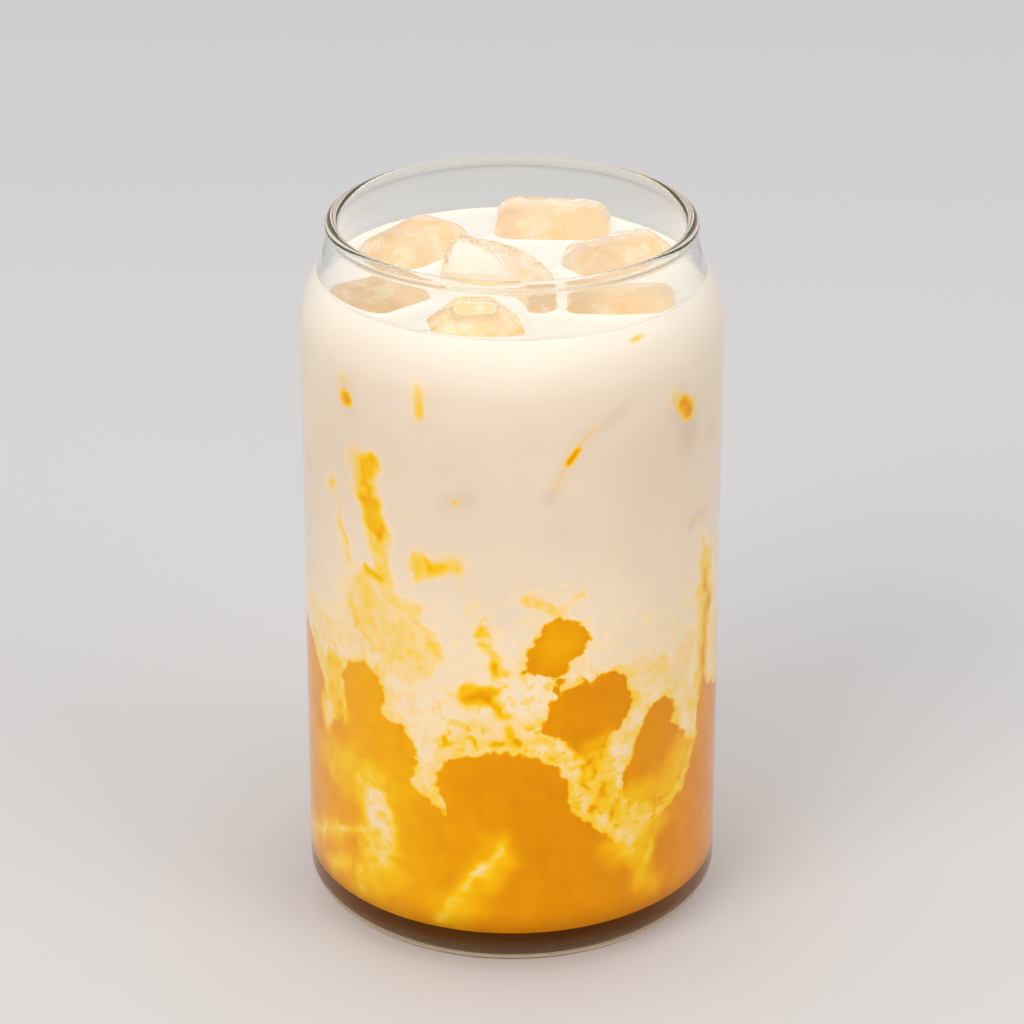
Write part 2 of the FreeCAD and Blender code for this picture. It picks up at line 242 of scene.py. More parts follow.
# Puree that tints the milk between the bodies
WASH_BY_HEIGHT = [
    (20, 0.30), (40, 0.20), (55, 0.155), (66, 0.115), (78, 0.07), (95, 0.03), (130, 0.0),
]
WASHES = [
    # plume on the left
    (0.62, 2.3, 1.3, [(-27.4, 97.0), (-26.8, 96.2)]),
    (0.36, 3.2, 1.8, [(-28.6, 96.4), (-27.6, 94.2)]),
    (0.64, 1.3, 1.2, [(-27.4, 95.0), (-26.8, 90), (-25, 85.2), (-24.4, 83.6)]),
    (0.62, 2.6, 1.2, [(-26.6, 89.6), (-25.2, 86.4)]),
    (0.34, 3.2, 1.6, [(-27.6, 93), (-25.6, 88), (-24.6, 83)]),
    (0.42, 1.8, 1.4, [(-24.6, 84), (-24.3, 80), (-24.8, 76.6)]),
    (0.60, 1.1, 1.1, [(-27.4, 76.4), (-24.6, 75.9)]),
    (0.36, 2.2, 1.8, [(-29.6, 74.4), (-26, 76), (-23.4, 75.4)]),
    (0.33, 1.7, 1.6, [(-25, 75.0), (-21, 73.2), (-17.6, 70.4), (-15, 67.2), (-13.4, 63.4)]),
    (0.29, 6.5, 3.0, [(-28, 69), (-23, 66), (-19.5, 63)]),
    (0.20, 5.0, 3.0, [(-33, 64), (-30, 60), (-24, 59)]),
    (0.52, 0.6, 0.9, [(-37, 90.0), (-35.6, 90.3)]),
    (0.24, 1.6, 1.4, [(-37.4, 89.2), (-36, 91.4)]),
    (0.20, 0.8, 1.0, [(-35.5, 92.2), (-31.5, 91.6), (-29, 93)]),
    (0.46, 0.7, 0.8, [(-34, 84.4), (-33.4, 82.4), (-32.8, 80.8)]),
    (0.26, 1.3, 1.2, [(-34.6, 87.6), (-34, 84), (-33.2, 80), (-32, 77)]),
    (0.24, 1.2, 1.6, [(-34.6, 79), (-33, 74.4), (-35, 70)]),
    (0.22, 0.8, 1.2, [(-30.4, 72.8), (-35, 70.2)]),
    # patch
    (0.62, 1.4, 1.3, [(-15.0, 80.3), (-11.8, 80.8)]),
    (0.42, 2.0, 1.4, [(-17, 79.9), (-10.4, 80.8)]),
    (0.22, 2.0, 1.4, [(-15, 81.8), (-10, 82.2)]),
    (0.30, 0.4, 0.8, [(-18.2, 79), (-18, 76.2)]),
    # broken trail from the patch to the dome
    (0.26, 0.3, 0.6, [(-9.3, 78.2), (-7.2, 76.6)]),
    (0.27, 0.7, 1.0, [(-8.0, 74.8), (-5.6, 71.6)]),
    (0.42, 1.0, 1.2, [(-5.0, 69.6), (-3.6, 66.0), (-3.0, 64.4)]),
    (0.48, 1.1, 1.0, [(-3.2, 63.0), (-1.0, 61.4)]),
    (0.34, 0.6, 0.9, [(-3.4, 60), (-1.6, 59.0)]),
    # small patch left of the middle lump
    (0.66, 2.0, 1.0, [(-7.2, 56.3), (-4.6, 56.8)]),
    (0.60, 1.1, 1.1, [(-5.2, 55.6), (-3.0, 54.6), (-1.4, 53.0)]),
    (0.34, 1.6, 1.6, [(-9.0, 55.6), (-3.4, 56.4), (-0.6, 53.0)]),
    # round the upper lump
    (0.36, 1.2, 1.6, [(3, 75), (6, 73.6), (9, 73.6)]),
    (0.30, 0.8, 1.2, [(9, 74), (12.4, 76.2)]),
    (0.44, 0.4, 0.5, [(11.6, 75.6), (12.4, 75.6)]),
    (0.14, 0.6, 0.9, [(13, 77), (14, 80.6), (18, 83.4), (23, 84), (28, 83)]),
    # under the middle lump
    (0.60, 3.4, 1.6, [(14, 48), (14.4, 43)]),
    (0.50, 3.6, 1.6, [(14.6, 43), (15.6, 36), (18.6, 30.4)]),
    # round the right body
    (0.46, 2.6, 2.0, [(20, 31), (24, 29), (31, 29.4), (36, 32.4), (38.4, 38)]),
    (0.42, 2.5, 2.4, [(19, 28), (26, 28)]),
    (0.27, 2.6, 2.4, [(36, 50), (37.6, 44), (38, 38)]),
    (0.24, 5.0, 3.0, [(25, 57), (32, 54), (37, 58)]),
    (0.42, 1.2, 2.0, [(41.4, 76.5), (40.5, 74)]),
    (0.70, 1.5, 1.5, [(42.8, 70.5), (43.2, 64), (42.8, 56), (42.4, 46)]),
    (0.40, 3.4, 2.6, [(42.6, 73), (43, 60), (42, 50)]),
    (0.26, 5.0, 4.0, [(50, 56), (50, 48)]),
    # over the dome
    (0.40, 1.6, 1.6, [(-12, 46.4), (-6, 47), (1, 48.4), (6, 46.8), (9, 44)]),
    (0.26, 3.0, 2.0, [(-8, 49), (0, 51), (4, 50)]),
    # behind
    (0.60, 1.6, 1.2, [(98.6, 86), (98, 82), (99.4, 77)]),
    (0.36, 3.2, 1.8, [(98.4, 88), (98, 80), (98, 74), (94, 68)]),
    (0.28, 6.0, 3.0, [(88, 62), (96, 60), (106, 58)]),
    (0.46, 1.6, 1.4, [(69, 68), (72.4, 64.6)]),
    (0.30, 1.4, 1.6, [(66, 74), (69, 69), (75, 64)]),
    (0.50, 1.3, 1.2, [(-99, 73), (-96, 68), (-94.4, 63)]),
    (0.30, 3.0, 2.0, [(-101, 78), (-97, 68), (-92, 60)]),
    (0.30, 6.0, 3.0, [(-76, 62), (-66, 60)]),
    (0.62, 1.4, 1.2, [(-68.4, 84.6), (-65.6, 85.2)]),
    (0.40, 3.0, 2.0, [(-74, 45), (-80, 44), (-90, 47)]),
    # far left
    (0.44, 3.4, 2.4, [(-38, 54), (-37, 50), (-35.6, 45.6)]),
    (0.24, 4.0, 3.0, [(-46, 62), (-38, 60), (-33, 62)]),
    (0.30, 3.0, 3.0, [(-44, 56), (-40, 53)]),
]
# Gaps in that tint
THINS = [
    (0.17, 1.0, 1.2, [(-16.2, 48), (-15.8, 44), (-15.4, 40), (-13, 35.8), (-11.6, 33.4)]),
    (0.24, 0.5, 0.7, [(21.4, 47), (19.8, 44.6), (18.6, 41.6), (19.4, 38.6), (18.6, 34)]),
    (0.24, 0.4, 0.8, [
        (11.2, 43.6), (11.8, 39), (11.4, 35), (13.6, 31.8), (17.0, 29.4), (20.2, 26.2),
        (21.6, 24.2),
    ]),
    (0.22, 0.3, 0.7, [(39.4, 40), (38.0, 35), (34.6, 31.0), (30, 28.4), (26, 27.4), (22, 28.6)]),
    (0.26, 0.2, 0.5, [(37.6, 38), (36.2, 33.6), (32.6, 30.6), (28, 29.8)]),
]
# Strength of the puree in parts of the bodies
TONES = [
    # behind
    (0.60, 4.0, 3.0, [(62, 30), (70, 22), (76, 12)]),
    (0.42, 0.9, 1.8, [(64, 27), (71, 20), (77, 11)]),
    (0.60, 4.0, 3.0, [(-96, 30), (-90, 22), (-84, 12)]),
    (0.36, 1.6, 1.8, [(-93, 27), (-88, 20), (-86, 13)]),
    (0.50, 1.2, 1.8, [(99, 28), (103, 20), (104, 12)]),
    (0.62, 3.0, 2.5, [(-66, 26), (-60, 20)]),
    # yellow zones of the left mass
    (0.58, 5.0, 3.0, [(-38, 34), (-30, 35), (-24, 37)]),
    (0.58, 3.5, 2.5, [(-22, 19), (-27, 16), (-30, 12)]),
    (0.52, 2.0, 2.0, [(-36.6, 48.6), (-33.6, 46)]),
    (0.80, 4.0, 3.0, [(-43, 30), (-40, 24), (-37, 25)]),
    (0.74, 5.0, 3.0, [(-28, 54), (-27, 47), (-22, 42)]),
    (0.74, 3.0, 3.0, [(-18, 26), (-16, 14)]),
    (0.30, 1.0, 1.6, [(-41.2, 46), (-41, 41)]),
    # pale window and its arm
    (0.44, 4.0, 2.2, [(-26.6, 32), (-26.2, 27), (-25.6, 21)]),
    (0.27, 2.4, 1.5, [(-26.0, 31), (-25.4, 27), (-24.8, 21)]),
    (0.40, 0.8, 1.6, [(-27, 25), (-32, 22.4), (-37, 21)]),
    (0.36, 1.4, 2.6, [(-38, 19.6), (-46, 16), (-52, 12)]),
    (0.44, 1.2, 2.0, [(-35, 15), (-40, 11)]),
    (0.40, 0.6, 1.0, [(-29.6, 14), (-31, 10)]),
    # streak in the middle
    (0.60, 3.2, 2.5, [(-2, 26), (-5, 20), (-8, 16), (-11, 11)]),
    (0.42, 0.7, 1.1, [(-2.4, 26.4), (-5.4, 21), (-9, 16.4), (-12, 11.6), (-13.4, 9)]),
    (0.36, 0.6, 0.8, [(-4.6, 23), (-5.6, 20.6)]),
    # right
    (0.60, 2.0, 2.5, [(20, 22), (24, 18), (27, 13)]),
    (0.40, 0.8, 1.2, [(27, 22), (25.4, 20), (25, 17.6)]),
    (0.95, 6.0, 3.0, [(5, 32), (9, 22), (14, 15)]),
    (0.93, 3.0, 3.0, [(13, 53), (16, 50)]),
    (0.76, 4.0, 2.0, [(8, 65.6), (9, 67.0)]),
    (0.52, 2.4, 3.0, [(19.4, 23.6), (22.4, 22.4), (27, 24.6)]),
    (0.52, 1.6, 2.2, [(21.6, 33), (26, 31), (31, 31.2), (35.6, 34.6)]),
    (0.92, 3.0, 2.0, [(26, 46), (25, 40)]),
    (0.60, 3.0, 3.0, [(23, 33), (31, 33.4), (35, 38)]),
    (0.66, 1.8, 2.0, [(14, 45), (16, 46)]),
]
# Small drops
FLECK_BY_HEIGHT = [(10, 0.16), (45, 0.30), (62, 0.22), (74, 0.06), (84, 0.0)]
FLECKS = [
    (0.8, 4.0, 3.0, [(60, 46), (70, 42), (78, 48)]),
    (0.8, 4.0, 3.0, [(-104, 42), (-94, 44), (-84, 48)]),
    (1.0, 2.6, 2.0, [(-11, 47), (-4, 48.6), (3, 49), (8, 46)]),
    (0.7, 3.0, 3.0, [(-12, 52), (0, 53), (4, 58)]),
    (1.0, 2.4, 2.0, [(12, 42), (13, 35), (18, 29)]),
    (0.8, 3.0, 2.0, [(17, 44), (17, 34)]),
    (0.7, 1.6, 1.6, [(-9, 78), (-5.5, 71), (-3, 64), (-2, 58)]),
    (0.3, 5.0, 3.0, [(-30, 66), (-22, 62), (-17, 58)]),
    (0.6, 3.0, 2.0, [(25, 29), (32, 29), (38, 34)]),
    (0.5, 3.0, 3.0, [(2, 74), (10, 75)]),
    (0.5, 3.0, 2.0, [(-26, 30), (-25, 22)]),
    (0.5, 2.0, 2.0, [(-5, 22), (-11, 12)]),
    (0.5, 3.5, 2.5, [(-37, 56), (-36, 46)]),
]
# Light (below 0) and shade (above 0) on the milk
SHADE_BY_HEIGHT = [(60, 0.0), (80, 0.12), (92, 0.24), (104, 0.20), (112, -0.05), (122, -0.9)]
SHADES = [
    (0.40, 1.6, 2.2, [(71.6, 109.4), (73.4, 105.6)]),
    (0.30, 1.2, 2.2, [(-70, 112), (-69.4, 108)]),
    (0.45, 0.9, 2.2, [(-101, 96), (-98, 100.6), (-93, 105)]),
    (0.35, 1.2, 2.0, [(90.6, 96.4), (94, 95)]),
    (0.50, 0.8, 2.2, [(6.4, 94.6), (9.4, 100.6), (12.6, 105.6), (20, 109.6)]),
    (0.35, 1.2, 2.2, [(-11.2, 93.6), (-7.6, 94.4)]),
    (0.20, 2.0, 4.0, [(8, 93), (9, 88)]),
    (0.45, 1.6, 2.0, [(-32.6, 110.4), (-32.0, 107.6)]),
    (0.30, 1.4, 2.0, [(-16.2, 112.0), (-15.8, 107.6)]),
    (0.45, 2.4, 2.4, [(32.4, 107.6), (35.4, 103.4), (35.4, 99.6)]),
    (0.45, 0.8, 1.4, [(36.6, 82.0), (39.4, 83.2), (42.6, 82.4)]),
    (0.35, 1.0, 2.0, [(-47, 91.0), (-46.6, 89.6)]),
    (0.30, 1.6, 3.0, [(43.6, 97.6), (45, 96.8)]),
]
# Spots and threads of puree high in the milk, which no current breaks up
TOUCHES = [
    (0.82, 1.2, 0.8, [(72, 108.4), (72.8, 107)]),
    (0.50, 0.8, 1.1, [(-70, 112), (-69.6, 109)]),
    (0.78, 0.7, 0.7, [(-98, 100.6), (-96.6, 102.6)]),
    (0.70, 0.5, 0.6, [(92, 96), (92.6, 95.4)]),
    (0.82, 1.4, 0.8, [(-32.2, 108.3), (-31.9, 107.8)]),
    (0.30, 1.2, 1.6, [(-33, 111.4), (-32, 108)]),
    (0.40, 1.1, 1.4, [(-16.3, 113.6), (-16.1, 108.8)]),
    (0.56, 0.8, 1.1, [(-16.1, 111.0), (-16.0, 109.0)]),
    (0.82, 0.6, 0.6, [(9.6, 101.0), (11.2, 103.2)]),
    (0.30, 0.6, 1.2, [(7.4, 96.4), (9.4, 101), (12, 104.8), (14.4, 107)]),
    (0.84, 1.7, 1.2, [(33.6, 106.4), (35.0, 104.6)]),
    (0.34, 1.6, 1.8, [(31.4, 108.2), (34, 106.4), (35.8, 103.8)]),
    (0.16, 0.8, 1.6, [(35.6, 103), (34.8, 99)]),
    (0.72, 0.3, 0.5, [(-10.1, 93.5), (-9.5, 93.6)]),
    (0.40, 0.7, 0.8, [(22.6, 120.6), (25.4, 120.9)]),
    (0.60, 0.25, 0.3, [(37.0, 82.2), (37.9, 82.6)]),
    (0.24, 0.2, 0.4, [(37.6, 82.7), (39.6, 83.4), (41.6, 83.2)]),
    (0.50, 0.2, 0.3, [(41.6, 83.0), (42.6, 82.3)]),
]


# ---------------------------------------------------------------- painting
NO_BODY = -9.0
BODY_LIMIT = 3.0
PROBE = 0.2  # half the distance over which the slope of a current is taken
CLOUD_LAYERS = ((4.6, 1.3), (1.9, 0.35))
CLOUD_SEEDS = (41, 43)
DEPTH_LAYERS = ((9.0, 0.07),)
DEPTH_SEED = 5
SHADE_LAYERS = ((16.0, 0.16), (6.0, 0.06))
SHADE_SEED = 8


def drifted(s, z):
    """Where the drink now at (s, z) came from, before the currents dragged it along."""
    for cell, reach, steps, seed in DRIFTS:
        pull = reach * cell ** 2 / steps
        for _ in range(steps):
            above, below, right, left = (
                lattice_noise(wall_point(s + ds, z + dz) / cell, seed)
                for ds, dz in ((0, PROBE), (0, -PROBE), (PROBE, 0), (-PROBE, 0))
            )
            s, z = (
                s + (above - below) / (2 * PROBE) * pull,
                z - (right - left) / (2 * PROBE) * pull,
            )
    return s, z


def most(value, amount, share):
    return np.maximum(value, amount * share)


def over(value, amount, share):
    return value * (1 - share) + amount * share


def added(value, amount, share):
    return value + amount * share


def brushed(value, s, z, strokes, blend):
    """Lays soft strokes over a value."""
    for amount, half, soft, line in strokes:
        value = blend(value, amount, stroke_mask(s, z, half, soft, line))
    return value


def at_place(place, changes):
    return np.interp(place, *zip(*changes))


def body_depth(s, z):
    """Distance inside the nearest body of puree, and minus the distance outside."""
    body = np.full(len(s), NO_BODY)
    for outline in BODIES.values():
        body = np.maximum(body, outline_depth(s, z, outline))
    for half, line in LIMBS:
        body = np.maximum(body, half - stroke_distance(s, z, line))
    for half, line in CUTS:
        body = np.minimum(body, stroke_distance(s, z, line) - half)
    return np.clip(body, -BODY_LIMIT, BODY_LIMIT)


def paint(s, z):
    """The swirl at points of the wall: distance inside the bodies, amount of puree in the milk,
    strength of the puree, amount of drops, light and shade, and the place before the drift."""
    here = wall_point(s, z)
    from_s, from_z = drifted(s, z)
    there = wall_point(from_s, from_z)
    cloudy = [
        waved(place, here, CLOUD_LAYERS, seed)
        for place, seed in zip((from_s, from_z), CLOUD_SEEDS)
    ]
    wash = brushed(at_place(from_z, WASH_BY_HEIGHT), *cloudy, WASHES, most)
    wash = brushed(wash, *cloudy, THINS, over)
    wash = brushed(wash, s, z, TOUCHES, most)
    depth = waved(at_place(from_s, DEPTH_ROUND), there, DEPTH_LAYERS, DEPTH_SEED)
    depth = brushed(depth, *cloudy, TONES, over)
    fleck = brushed(at_place(from_z, FLECK_BY_HEIGHT), *cloudy, FLECKS, most)
    shade = waved(at_place(z, SHADE_BY_HEIGHT), here, SHADE_LAYERS, SHADE_SEED)
    shade = brushed(shade, s, z, SHADES, added)
    return body_depth(from_s, from_z), wash, depth, fleck, shade, there


# Puree that shows through the milk's top and in the wells: (amount, x, y, z, reach)
TOP_TINTS = [
    (0.46, -20.5, 12.5, 112.0, 5.0),
    (0.40, -23.0, 6.0, 116.0, 3.0),
    (0.40, 2.5, 20.5, 113.0, 4.6),
    (0.36, 10.0, 22.0, 113.0, 4.0),
    (0.42, 0.5, -5.5, 118.0, 2.6),
    (0.46, 6.5, -15.5, 118.0, 5.0),
    (0.34, -4.0, -9.0, 116.0, 4.0),
    (0.35, -6.0, -26.0, 114.0, 9.0),
]
TOP_FROM_Z = 100.0  # the milk's top and its wells lie above this
TOP_INSET = 0.35  # and this far from the wall
WELL_START = 0.4
WELL_FADE = 1.6
TOP_TINT = 0.02
WELL_TINT = 0.25
WELL_LAYERS = ((6.0, 0.03),)
WELL_SEED = 73
TINT_EDGE = (-1.2, 1.8)
TINT_LAYERS = ((3.0, 1.3), (1.3, 0.65))
TINT_SEED = 71
TOP_LIGHT = -0.95
WELL_SHADE = 0.20


def paint_top(points):
    """Amount of puree, and light and shade, on the milk's top and in the wells under the ice."""
    below = smoothstep(FLAT_Z - WELL_START - points[:, 2], 0.0, WELL_FADE)
    rough = waved(0.0, points, TINT_LAYERS, TINT_SEED)
    tint = TOP_TINT + below * waved(WELL_TINT, points, WELL_LAYERS, WELL_SEED)
    for amount, x, y, z, reach in TOP_TINTS:
        gap = np.linalg.norm(points - (x, y, z), axis=1) + rough
        tint = np.maximum(tint, below * amount * smoothstep(reach - gap, *TINT_EDGE))
    return tint, TOP_LIGHT + WELL_SHADE * below


def paint_mesh(mesh):
    """Writes what the drink's material reads to the vertices."""
    points = mesh_points(mesh)
    z = points[:, 2]
    s = np.arctan2(points[:, 0], -points[:, 1]) * BORE_RADIUS
    body, wash, depth, fleck, shade, stir = paint(s, z)
    radius = np.hypot(points[:, 0], points[:, 1])
    top = (z > TOP_FROM_Z) & (radius < bore_radius(z) - TOP_INSET)
    if top.any():
        tint, lit = paint_top(points)
        body = np.where(top, -BODY_LIMIT, body)
        wash = np.where(top, tint, wash)
        fleck = np.where(top, 0.0, fleck)
        shade = np.where(top, lit, shade)
    swirl = np.stack([body, wash, depth, fleck], -1)
    for name, kind, field, values in (
        ("swirl", "FLOAT_COLOR", "color", swirl),
        ("shade", "FLOAT", "value", shade),
        ("stir", "FLOAT_VECTOR", "vector", stir),
    ):
        attribute = mesh.attributes.new(name, kind, "POINT")
        attribute.data.foreach_set(field, values.astype(np.float32).ravel())


# ---------------------------------------------------------------- meshes
def arc_points(centre_r, centre_z, radius, start, end, count):
    """Points (radius, z) of an arc of the half section between two angles in degrees."""
    turn = np.radians(np.linspace(start, end, count))
    return np.stack([centre_r + radius * np.cos(turn), centre_z + radius * np.sin(turn)], -1)


def run_points(start, end, count):
    """Points of a straight run, without its first."""
    return np.linspace(start, end, count + 1)[1:]


def new_mesh(name, points, faces):
    mesh = bpy.data.meshes.new(name)
    mesh.from_pydata((points * MM).tolist(), [], faces)
    return mesh


def ring_grid(rows, columns):
    """Faces between neighbouring rings of vertices."""
    row = np.arange(rows - 1)[:, None] * columns
    column = np.arange(columns)[None, :]
    after = (column + 1) % columns
    corners = [row + column, row + after, row + columns + after, row + columns + column]
    return np.stack(corners, -1).reshape(-1, 4)


def fan(ring_first, columns, middle, flip):
    """Triangles from a ring to the one vertex in its middle."""
    column = np.arange(columns)
    after = (column + 1) % columns
    sides = [ring_first + column, ring_first + after]
    if flip:
        sides.reverse()
    return np.stack([*sides, np.full(columns, middle)], -1)


def rings_mesh(name, rings, low_middle, high_middle):
    """Closed mesh of rings (rows x columns x 3) from bottom to top with a point at each end.
    Seen from above the rings run anticlockwise."""
    rows, columns = rings.shape[:2]
    points = np.concatenate([rings.reshape(-1, 3), [low_middle, high_middle]])
    count = rows * columns
    faces = ring_grid(rows, columns).tolist()
    faces += fan(0, columns, count, True).tolist()
    faces += fan((rows - 1) * columns, columns, count + 1, False).tolist()
    mesh = new_mesh(name, points, faces)
    mesh.shade_smooth()
    mesh.validate()
    return mesh


def add_object(name, mesh):
    piece = bpy.data.objects.new(name, mesh)
    bpy.context.scene.collection.objects.link(piece)
    return piece


def read_vectors(items, field):
    """The (x, y, z) of a field for all the vertices or faces of a mesh."""
    values = np.empty(len(items) * 3, np.float32)
    items.foreach_get(field, values)
    return values.reshape(-1, 3).astype(float)


def mesh_points(mesh):
    return read_vectors(mesh.vertices, "co") / MM


def set_points(mesh, points):
    mesh.vertices.foreach_set("co", (points * MM).astype(np.float32).ravel())
    mesh.update()


def faces_of(mesh):
    return [list(face.vertices) for face in mesh.polygons]


def merged(parts):
    """The points and faces of several parts, each (points, faces), as one."""
    faces, first = [], 0
    for points, part_faces in parts:
        faces += [[index + first for index in face] for face in part_faces]
        first += len(points)
    return np.concatenate([points for points, _ in parts]), faces


def search_tree(points, faces):
    return BVHTree.FromPolygons(points.tolist(), faces)


def applied(piece):
    """Puts the mesh that its modifiers make in place of the piece's own."""
    graph = bpy.context.evaluated_depsgraph_get()
    mesh = bpy.data.meshes.new_from_object(piece.evaluated_get(graph))
    piece.modifiers.clear()
    old = piece.data
    piece.data = mesh
    bpy.data.meshes.remove(old)
    mesh.name = piece.name


def cut(piece, tool_mesh):
    """Takes the tool's room out of the piece."""
    tool = add_object("cutter", tool_mesh)
    boolean = piece.modifiers.new("wells", "BOOLEAN")
    boolean.operation = "DIFFERENCE"
    boolean.solver = "MANIFOLD"
    boolean.object = tool
    applied(piece)
    bpy.data.objects.remove(tool)


def turned(section, columns):
    """Rings of a half section (radius, z) turned about Z, anticlockwise from the front."""
    turn = np.arange(columns) * 2 * math.pi / columns
    r, z = section[:, :1], section[:, 1:]
    return np.stack([r * np.sin(turn), -r * np.cos(turn), z + 0 * turn], -1)


def ring_points(radii, heights):
    """Rings of points from heights (rows x columns) and radii, one a ring or one a point."""
    columns = heights.shape[1]
    turn = np.arange(columns) * 2 * math.pi / columns
    radii = radii if np.ndim(radii) == 2 else np.reshape(radii, (-1, 1))
    radii = np.broadcast_to(radii, heights.shape)
    return np.stack([radii * np.sin(turn), -radii * np.cos(turn), heights], -1)


# ---------------------------------------------------------------- glass
GLASS_COLUMNS = 256
PUNT_STEPS = 16
HEEL_STEPS = 24
WALL_STEPS = 30
BEND_STEPS = 14
RIM_STEPS = 22
FLOOR_STEPS = 12


def glass_section():
    """Half section of the glass from the middle of the punt, up outside and down inside."""
    ring_radius = BODY_RADIUS - HEEL_WIDTH
    punt_radius = ring_radius - FOOT_WIDTH
    dome = (punt_radius**2 + PUNT_RISE**2) / (2 * PUNT_RISE)
    dome_turn = math.degrees(math.asin(punt_radius / dome))
    heel_turn = np.linspace(-math.pi / 2, 0, HEEL_STEPS)
    heel_r = ring_radius + HEEL_WIDTH * np.cos(heel_turn)
    heel_z = HEEL_RISE + HEEL_RISE * np.sin(heel_turn)
    shoulder = (BODY_RADIUS - SHOULDER_ARC, SHOULDER_Z)
    neck = (NECK_RADIUS + NECK_ARC, NECK_Z)
    bead = (WALL + RIM_SWELL) / 2
    tuck = math.degrees(math.acos(WALL / (WALL + RIM_SWELL)))
    return np.concatenate([
        arc_points(0, PUNT_RISE - dome, dome, 90, 90 - dome_turn, PUNT_STEPS),
        np.stack([heel_r, heel_z], -1),
        run_points((BODY_RADIUS, HEEL_RISE), (BODY_RADIUS, SHOULDER_Z), WALL_STEPS),
        arc_points(*shoulder, SHOULDER_ARC, 0, SHOULDER_TURN, BEND_STEPS)[1:],
        arc_points(*neck, NECK_ARC, 180 + SHOULDER_TURN, 180, BEND_STEPS)[1:],
        arc_points(NECK_RADIUS - WALL / 2, HEIGHT - bead, bead, -tuck, 180 + tuck, RIM_STEPS),
        arc_points(*neck, NECK_ARC + WALL, 180, 180 + SHOULDER_TURN, BEND_STEPS),
        arc_points(*shoulder, SHOULDER_ARC - WALL, SHOULDER_TURN, 0, BEND_STEPS)[1:],
        run_points((BORE_RADIUS, SHOULDER_Z), (BORE_RADIUS, CORNER_Z), WALL_STEPS),
        arc_points(BORE_RADIUS - BORE_CORNER, CORNER_Z, BORE_CORNER, 0, -90, BEND_STEPS)[1:],
        run_points((BORE_RADIUS - BORE_CORNER, BASE_THICKNESS), (0, BASE_THICKNESS), FLOOR_STEPS),
    ])


def make_glass():
    section = glass_section()
    rings = turned(section[1:-1], GLASS_COLUMNS)
    ends = [(0, 0, section[end, 1]) for end in (0, -1)]
    return add_object("glass_tumbler", rings_mesh("glass_tumbler", rings, *ends))


def bore_radius(z):
    """Radius of the room inside the glass at a height."""
    z = np.asarray(z, float)
    into_corner = np.clip(CORNER_Z - z, 0, BORE_CORNER)
    corner = BORE_RADIUS - BORE_CORNER + np.sqrt(np.maximum(0, BORE_CORNER**2 - into_corner**2))
    above = np.clip(z - SHOULDER_Z, 0, None)
    shoulder = BODY_RADIUS - SHOULDER_ARC + np.sqrt((SHOULDER_ARC - WALL) ** 2 - above**2)
    under = NECK_Z - np.minimum(z, NECK_Z)
    neck = NECK_RADIUS + NECK_ARC - np.sqrt(np.maximum(0, (NECK_ARC + WALL) ** 2 - under**2))
    bend_z = SHOULDER_Z + (SHOULDER_ARC - WALL) * math.sin(math.radians(SHOULDER_TURN))
    upper = np.where(z < bend_z, shoulder, neck)
    return np.where(z < CORNER_Z, corner, np.where(z < SHOULDER_Z, BORE_RADIUS, upper))


# ---------------------------------------------------------------- ice
ICE_VOXEL = 0.42
ICE_SMOOTH_STEPS = 7
MELT_LAYERS = ((8.0, 0.30), (3.0, 0.05))
MELT_LOSS = 0.08
MELT_FIRST_SEED = 200
MELT_SEED_STEP = 10


def make_ice(node, seed):
    """The CAD block with the waves, hollows and softened edges that melting gives it."""
    piece = add_object("melting_" + node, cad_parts[node].data.copy())
    remesh = piece.modifiers.new("remesh", "REMESH")
    remesh.mode = "VOXEL"
    remesh.voxel_size = ICE_VOXEL * MM
    smooth = piece.modifiers.new("smooth", "SMOOTH")
    smooth.factor = 0.5
    smooth.iterations = ICE_SMOOTH_STEPS
    applied(piece)
    points = mesh_points(piece.data)
    melt = waved(0.0, points, MELT_LAYERS, seed) - MELT_LOSS
    set_points(piece.data, points + read_vectors(piece.data.vertices, "normal") * melt[:, None])
    piece.data.shade_smooth()
    return piece


# ---------------------------------------------------------------- drink
COLUMNS = 420
FLOOR_RINGS = 20
CORNER_STEPS = 16
PUREE_ROWS = 76
SEAM_RINGS = 14
MILK_ROWS = 168
TOP_RINGS = 76
SUPPORT = 0.012  # a ring this close to an edge keeps the shading of the two sides apart
SHARP_ANGLE = 50.0
WALL_MENISCUS = (0.7, 1.2)  # height and width of the milk's climb up the glass
ICE_MENISCUS = (0.55, 0.8)
RIPPLE_LAYERS = ((7.0, 0.10),)
RIPPLE_SEED = 31
RIPPLE_CALM = 3.0  # the ripples die away this near the wall
RAY_MARGIN = 0.15  # keeps a ray down the wall from missing the CAD puree
OPEN_DEPTH = 0.35
OPEN_SLOPE = 0.2

# The seam is the surface between the puree and the milk.
SEAM_RADII = np.linspace(0, BORE_RADIUS, SEAM_RINGS + 1)[1:]


def seam_heights():
    """Heights (rings x columns) of the seam, read from the CAD puree."""
    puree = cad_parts["mango_puree"].data
    tree = search_tree(mesh_points(puree), faces_of(puree))
    radii = np.minimum(SEAM_RADII, BORE_RADIUS - RAY_MARGIN)
    starts = ring_points(radii, np.full((SEAM_RINGS, COLUMNS), HEIGHT)).reshape(-1, 3)
    down = Vector((0, 0, -1))
    heights = [tree.ray_cast(Vector(start), down)[0].z for start in starts.tolist()]
    return np.reshape(heights, (SEAM_RINGS, COLUMNS))


def wall_rings(low, high, rows):
    """Rings up the wall between two heights, one of each a column, with a support ring near
    each end."""
    share = np.concatenate([[0, 0], np.linspace(0, 1, rows)[1:-1], [1, 1]])[:, None]
    nudge = np.zeros_like(share)
    nudge[1], nudge[-2] = SUPPORT, -SUPPORT
    heights = low + (high - low) * share + nudge
    return ring_points(bore_radius(heights) + REACH, heights)


